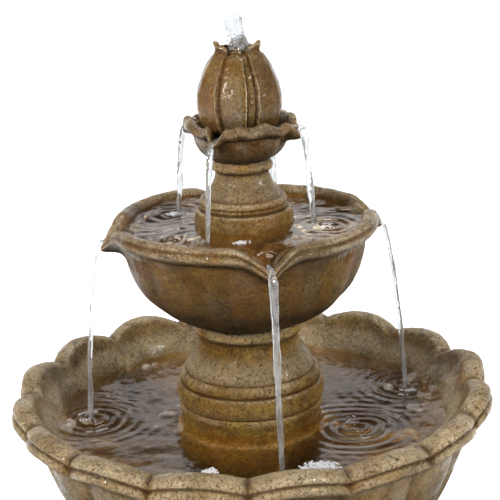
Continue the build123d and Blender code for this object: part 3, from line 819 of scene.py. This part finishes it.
def pool(name, body, level, radius_of, sources, seed, height, chop, rows, columns, depth, floor_radius,
         swell=None):
    """A body of water: rippled out to the casting's wall, then down inside it and back to the tube."""
    angle = np.linspace(0, TAU, columns, endpoint=False)
    edge = radius_of(angle)
    t = np.linspace(0, 1, rows)[:, None]
    inner = TUBE_RADIUS + 0.0005
    r = inner + (edge[None, :] - inner) * t
    x, y = r * np.cos(angle), r * np.sin(angle)
    z = level + ripples(x, y, sources, seed, height, chop)
    if swell:
        z = z + swell(r, angle[None, :])
    top = np.stack([x, y, z], -1)
    low = top[-1].copy()
    low[:, 2] = level - depth
    low[:, :2] *= (floor_radius / edge)[:, None]
    base = low.copy()
    base[:, :2] *= (inner / np.hypot(low[:, 0], low[:, 1]))[:, None]
    grid = np.concatenate([top, low[None], base[None]])
    material = clear_water(name + "_clear", POOL_TINT, ripple=0.0008, scale=60)
    piece = mesh_object(name, grid, grid_faces(*grid.shape[:2], True), material, solid=True)
    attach(piece, body)


def stream(name, bodies, path, widths, material, seed, thin=0.55, sides=28, spacing=0.0016, wobble=0.22,
           blend=None):
    """A flattened, uneven rope of water through the path's points. Its widths are given as (along, width)."""
    p = smooth_run([tuple(q) for q in path], spacing)
    n = len(p)
    t = np.linspace(0, 1, n)
    tangent = np.gradient(p, axis=0)
    tangent /= np.linalg.norm(tangent, axis=1, keepdims=True)
    outward = np.array([p[-1][0], p[-1][1], 0.0]) + 1e-6
    outward /= np.linalg.norm(outward)
    side = np.cross(tangent, outward)
    side /= np.linalg.norm(side, axis=1, keepdims=True)
    front = np.cross(side, tangent)
    width = np.interp(t, [a for a, _ in widths], [w for _, w in widths]) / 2
    here = np.stack([np.zeros(n), np.zeros(n), p[:, 2]], -1)
    width = width * (1 + wobble * layered(here, 0.030, seed, 3))
    sway = 0.0011 * eased(t, 0.1, 1.0)[:, None] * (side * noise(here, 0.045, seed + 3)[:, None]
                                                    + front * noise(here, 0.05, seed + 4)[:, None])
    around = np.linspace(0, TAU, sides, endpoint=False)
    flat = thin + (1 - thin) * eased(t, 0.35, 1.0)
    ring = (np.cos(around)[None, :, None] * side[:, None, :] * width[:, None, None]
            + np.sin(around)[None, :, None] * front[:, None, :] * (width * flat)[:, None, None])
    grid = p[:, None, :] + sway[:, None, :] + ring
    lumps = noise(grid * np.array([1, 1, 0.3]), 0.0060, seed + 6)
    grid += ring * 0.14 * lumps[..., None]
    faces = grid_faces(n, sides, False).tolist()
    faces += [list(range(sides))[::-1], [(n - 1) * sides + k for k in range(sides)]]
    piece = mesh_object(name, grid, faces, material, solid=True)
    if blend:
        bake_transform(piece)
    else:
        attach(piece, bodies[0])


def beads(name, body, centres, sizes, material):
    """Droplets or bubbles, joined in one mesh."""
    points, faces = [], []
    ball = bmesh.new()
    bmesh.ops.create_icosphere(ball, subdivisions=2, radius=1)
    ball.verts.index_update()
    shell = np.array([v.co for v in ball.verts])
    skin = np.array([[v.index for v in f.verts] for f in ball.faces])
    ball.free()
    for k, (centre, size) in enumerate(zip(centres, sizes)):
        points.append(np.array(centre) + shell * np.broadcast_to(size, 3))
        faces.append(skin + k * len(shell))
    piece = mesh_object(name, np.concatenate(points), np.concatenate(faces), material)
    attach(piece, body)


# --- Studio ---

def studio():
    world = bpy.data.worlds.new("studio_world")
    bpy.context.scene.world = world
    world.use_nodes = True
    tree = world.node_tree
    back = tree.nodes["Background"]
    where = tree.nodes.new("ShaderNodeTexCoord").outputs["Generated"]
    split = tree.nodes.new("ShaderNodeSeparateXYZ")
    tree.links.new(where, split.inputs[0])

    def ramp(value, *ends):
        node = tree.nodes.new("ShaderNodeMapRange")
        node.interpolation_type = "SMOOTHSTEP"
        for key, number in zip(("From Min", "From Max", "To Min", "To Max"), ends):
            node.inputs[key].default_value = number
        tree.links.new(value, node.inputs["Value"])
        return node.outputs["Result"]

    behind = ramp(split.outputs["Y"], 0.35, 0.80, 0.0, 1.0)
    low = ramp(split.outputs["Z"], 0.36, 0.56, 1.0, 0.0)
    panel = tree.nodes.new("ShaderNodeMath")
    panel.operation = "MULTIPLY"
    tree.links.new(behind, panel.inputs[0])
    tree.links.new(low, panel.inputs[1])
    tree.links.new(ramp(panel.outputs[0], 0, 1, 0.16, 1.15), back.inputs["Strength"])
    back.inputs["Color"].default_value = (1.0, 0.99, 0.97, 1)

    def lamp(name, place, target, size, power, colour=(1.0, 0.99, 0.97)):
        light = bpy.data.lights.new(name, "AREA")
        light.shape = "RECTANGLE"
        light.size, light.size_y = size
        light.energy = power
        light.color = colour
        thing = bpy.data.objects.new(name, light)
        bpy.context.collection.objects.link(thing)
        thing.location = place
        thing.rotation_euler = (Vector(target) - Vector(place)).to_track_quat("-Z", "Y").to_euler()

    middle = (0, 0, 0.95)
    lamp("key", (-2.6, -2.05, 2.55), middle, (0.6, 0.8), 152, (1.0, 0.98, 0.95))
    lamp("fill", (2.8, -1.3, 2.0), middle, (0.5, 0.6), 84, (1.0, 0.985, 0.965))
    lamp("front_light", (1.8, -3.0, 1.9), middle, (0.5, 0.5), 48)
    lamp("top_light", (0.1, -0.5, 4.3), middle, (1.4, 1.4), 50)
    lamp("left_light", (-3.0, -0.5, 1.8), (0, 0, 1.1), (0.30, 0.35), 24)
    lamp("back_light", (0.3, 2.0, 4.2), (0, 0, 0.9), (2.2, 1.2), 70, (1, 1, 1))

    bpy.ops.mesh.primitive_plane_add(size=400, location=(0, 0, 0))
    floor = bpy.context.object
    floor.name = "floor"
    n = Nodes("floor_paper")
    away = n.tree.nodes.new("ShaderNodeVectorMath")
    away.operation = "LENGTH"
    n.set(away.inputs[0], n.place)
    far = n.band(away.outputs["Value"], 0.60, 1.15)
    fibre = n.mix(n.band(n.noise(3, 3), 0.4, 0.6), (0.93, 0.93, 0.93), (0.92, 0.92, 0.918))
    shade = n.mix(far, (0.30, 0.29, 0.28), fibre)
    glow = n.math("ADD", n.band(far, 0, 1, 0, 0.55), n.band(away.outputs["Value"], 1.5, 7.0, 0.0, 0.42))
    n.finish(n.add("BsdfPrincipled", Base_Color=shade, Roughness=0.9, Emission_Color=(1, 1, 1),
                   Emission_Strength=glow))
    floor.data.materials.append(n.material)


def camera():
    distance, height, turn = 1.8932, 0.7624, math.radians(1.49)
    pitch, roll, yaw = math.radians(16.54), math.radians(2.21), math.radians(-0.19)
    cam = bpy.data.cameras.new("camera")
    cam.sensor_width = 36
    cam.lens = 106.0
    cam.clip_end = 500
    thing = bpy.data.objects.new("camera", cam)
    bpy.context.collection.objects.link(thing)
    aim = turn + yaw
    ahead = Vector((-math.sin(aim) * math.cos(pitch), math.cos(aim) * math.cos(pitch), -math.sin(pitch)))
    across = Vector((math.cos(aim), math.sin(aim), 0))
    upward = across.cross(ahead)
    right = math.cos(roll) * across - math.sin(roll) * upward
    up = math.sin(roll) * across + math.cos(roll) * upward
    rows = Matrix((right, up, -ahead)).transposed().to_4x4()
    rows.translation = Vector((distance * math.sin(turn), -distance * math.cos(turn), RIM_Z + height))
    thing.matrix_world = rows
    bpy.context.scene.camera = thing


def basin_edge(angle):
    return (0.2625 + 0.0095 * wandering(angle) * petal_wave(angle)) + 0.0012


def basin_water():
    landing = [(0.139, -0.075, 1.7), (-0.219, -0.021, 1.5), (0.041, -0.211, 1.1), (0.220, 0.076, 1.3),
               (-0.042, 0.216, 1.3)]
    pool("basin_water", "root", BASIN_WATER_Z, basin_edge, landing, 5, 0.0020, 0.0010, rows=170, columns=760,
         depth=0.12, floor_radius=0.245)


def middle_water():
    def edge(angle):
        return 0.1585 + 0.016 * np.clip(1 - facing(angle, MIDDLE_LIPS) / 0.16, 0, 1)

    def swell(r, angle):
        near = np.clip(1 - facing(angle, MIDDLE_LIPS) * r / 0.030, 0, 1)
        return -0.022 * near**1.6 * eased(r, 0.145, 0.174)

    landing = [(-0.045, -0.105, 0.5), (0.110, -0.045, 0.6), (0.05, 0.105, 0.5), (-0.100, 0.045, 0.5)]
    pool("middle_water", "middle_tier", MIDDLE_WATER_Z, edge, landing, 8, 0.0026, 0.0021, rows=110,
         columns=520, depth=0.035, floor_radius=0.146, swell=swell)


def top_water():
    def edge(angle):
        return 0.0575 + 0.018 * np.clip(1 - facing(angle, TOP_LIPS) / 0.20, 0, 1)

    def swell(r, angle):
        near = np.clip(1 - facing(angle, TOP_LIPS) * r / 0.016, 0, 1)
        return -0.005 * near**1.5 * eased(r, 0.055, 0.074)

    pool("top_water", "top_tier", TOP_WATER_Z, edge, [], 12, 0.0008, 0.0011, rows=40, columns=260,
         depth=0.012, floor_radius=0.050, swell=swell)


GRAVITY = 9.81

# Each stream: direction from +X in degrees, start radius and height above the basin's rim in millimetres, and
# its outward speed in millimetres per second
MIDDLE_STREAMS = {"front": (-79.1, 190, 226, 105), "right": (19.0, 192, 226, 180),
                  "left": (184.0, 191, 224, 140), "back": (101.0, 190, 226, 130)}
TOP_STREAMS = {"front": (-115.3, 80, 364, 165), "right": (-22.8, 86, 371, 78),
               "back": (66.0, 80, 366, 150), "left": (155.0, 83, 364, 95)}


def falling_path(direction, radius, height, speed, level):
    """From just inside a lip, over it, and down to the water below as a thrown drop falls."""
    angle = math.radians(direction)
    drop = RIM_Z + height * MM - level
    time = math.sqrt(2 * drop / GRAVITY)
    path = [((radius - 24) * MM, RIM_Z + (height + 3.0) * MM),
            ((radius - 10) * MM, RIM_Z + (height + 1.2) * MM)]
    steps = 14
    for k in range(steps + 1):
        t = time * (k / steps) ** 0.8
        path.append((radius * MM + speed * MM * t, RIM_Z + height * MM - GRAVITY * t * t / 2))
    return [(r * math.cos(angle), r * math.sin(angle), z) for r, z in path]


def streams():
    water = clear_water("stream_water", (0.80, 0.82, 0.84), ripple=0.0009, scale=120,
                        thread_and_rim_shade=(0.30, 0.31, 0.33))
    rope = [(0, 0.004), (0.05, 0.0085), (0.14, 0.0105), (0.3, 0.0100), (0.6, 0.0078), (1, 0.0060)]
    sheet = [(0, 0.003), (0.08, 0.011), (0.24, 0.0145), (0.5, 0.0100), (1, 0.0062)]
    thread = [(0, 0.003), (0.08, 0.0060), (0.24, 0.0090), (0.5, 0.0082), (1, 0.0050)]
    for seed, (side, start) in enumerate(MIDDLE_STREAMS.items()):
        path = falling_path(*start, BASIN_WATER_Z - 0.003)
        stream(f"middle_stream_{side}", ("middle_tier", "root"), path, rope, water, 100 + 7 * seed,
               blend=((0, 0, path[3][2]), (0, 0, BASIN_WATER_Z)))
    for seed, (side, start) in enumerate(TOP_STREAMS.items()):
        path = falling_path(*start, MIDDLE_WATER_Z - 0.003)
        stream(f"top_stream_{side}", ("top_tier", "middle_tier"), path, thread if side == "front" else sheet,
               water, 200 + 7 * seed, spacing=0.0012, blend=((0, 0, path[3][2]), (0, 0, MIDDLE_WATER_Z)))


def jet():
    """Water thrown up through the bud's mouth: a leaning, lumpy column that breaks into drops."""
    water = clear_water("jet_water", (0.78, 0.81, 0.84), ripple=0.0020, scale=170,
                        thread_and_rim_shade=(0.20, 0.21, 0.24), milky=0.24)
    base = RIM_Z + 452 * MM
    path = [(0.001, 0, base), (0.002, 0, base + 0.020), (0.001, 0, base + 0.034),
            (-0.004, 0.001, base + 0.050), (-0.0085, 0.001, base + 0.064)]
    stream("jet_column", ("bud",), path,
           [(0, 0.030), (0.20, 0.038), (0.36, 0.036), (0.52, 0.023), (0.70, 0.023), (0.86, 0.025),
            (0.96, 0.019), (1, 0.006)], water, 301, thin=0.85, sides=56, spacing=0.0008, wobble=0.13)
    rng = random.Random(4)
    centres, sizes = [], []
    for _ in range(22):
        t = rng.random()
        spread = 0.006 + 0.005 * t
        centres.append((-0.0075 * t + rng.gauss(0, spread), rng.gauss(0, spread), base + 0.026 + 0.036 * t))
        sizes.append(rng.uniform(0.0006, 0.0019))
    beads("jet_drops", "bud", centres, sizes, water)


def froth_patch(name, body, middle, radius, count, level, seed, material, biggest, stretch):
    """A raft of bubbles, larger and denser in the middle."""
    rng = random.Random(seed)
    centres, sizes = [], []
    for _ in range(count):
        away = radius * rng.random() ** 0.7
        turn = rng.uniform(0, TAU)
        size = rng.uniform(0.0008, biggest) * (1.15 - 0.6 * away / radius)
        centres.append((middle[0] + stretch * away * math.cos(turn), middle[1] + away * math.sin(turn),
                        level + 0.0015 * rng.random()))
        sizes.append((size, size, size * 0.72))
    beads(name, body, centres, sizes, material)


def froths():
    white = froth("froth")
    bubble = film("bubble_film")
    rafts = [
        ("froth_front_right", white, 20, (0.088, -0.199), 0.024, 330, 0.0036, 1.15),
        ("froth_front_left", white, 21, (-0.050, -0.199), 0.011, 110, 0.0030, 1.0),
        ("froth_front", white, 22, (0.007, -0.232), 0.010, 60, 0.0026, 1.2),
        ("bubbles_left", bubble, 40, (-0.246, -0.045), 0.028, 12, 0.0120, 1.0),
        ("bubbles_right", bubble, 41, (0.252, 0.038), 0.020, 8, 0.0120, 1.0),
        ("bubbles_right_back", bubble, 42, (0.236, 0.106), 0.020, 8, 0.0090, 1.0),
        ("bubbles_right_front", bubble, 43, (0.228, -0.012), 0.015, 6, 0.0090, 1.0),
        ("bubbles_right_middle", bubble, 44, (0.197, 0.063), 0.010, 4, 0.0065, 1.0),
        ("bubbles_front_middle", bubble, 45, (0.110, -0.056), 0.008, 3, 0.006, 1.0),
        ("bubbles_back", bubble, 46, (0.045, 0.235), 0.022, 10, 0.0090, 1.0),
        ("bubbles_back_left", bubble, 47, (-0.15, 0.175), 0.018, 7, 0.008, 1.0),
    ]
    for name, material, seed, middle, radius, count, biggest, stretch in rafts:
        froth_patch(name, "root", middle, radius, count, BASIN_WATER_Z, seed, material, biggest, stretch)
    for seed, (direction, radius) in enumerate([(-90, 0.106), (-24, 0.115), (66, 0.112), (155, 0.106)]):
        place = (radius * math.cos(math.radians(direction)), radius * math.sin(math.radians(direction)))
        froth_patch(f"froth_middle_{seed + 1}", "middle_tier", place, 0.010, 42, MIDDLE_WATER_Z, 60 + seed,
                    white, 0.0024, 1.3)


basin()
lower_column()
middle_bowl()
upper_column()
top_bowl()
bud()
pedestal()
finish_pump()
basin_water()
middle_water()
top_water()
streams()
jet()
froths()
studio()
camera()
bpy.context.scene.view_settings.view_transform = "Standard"
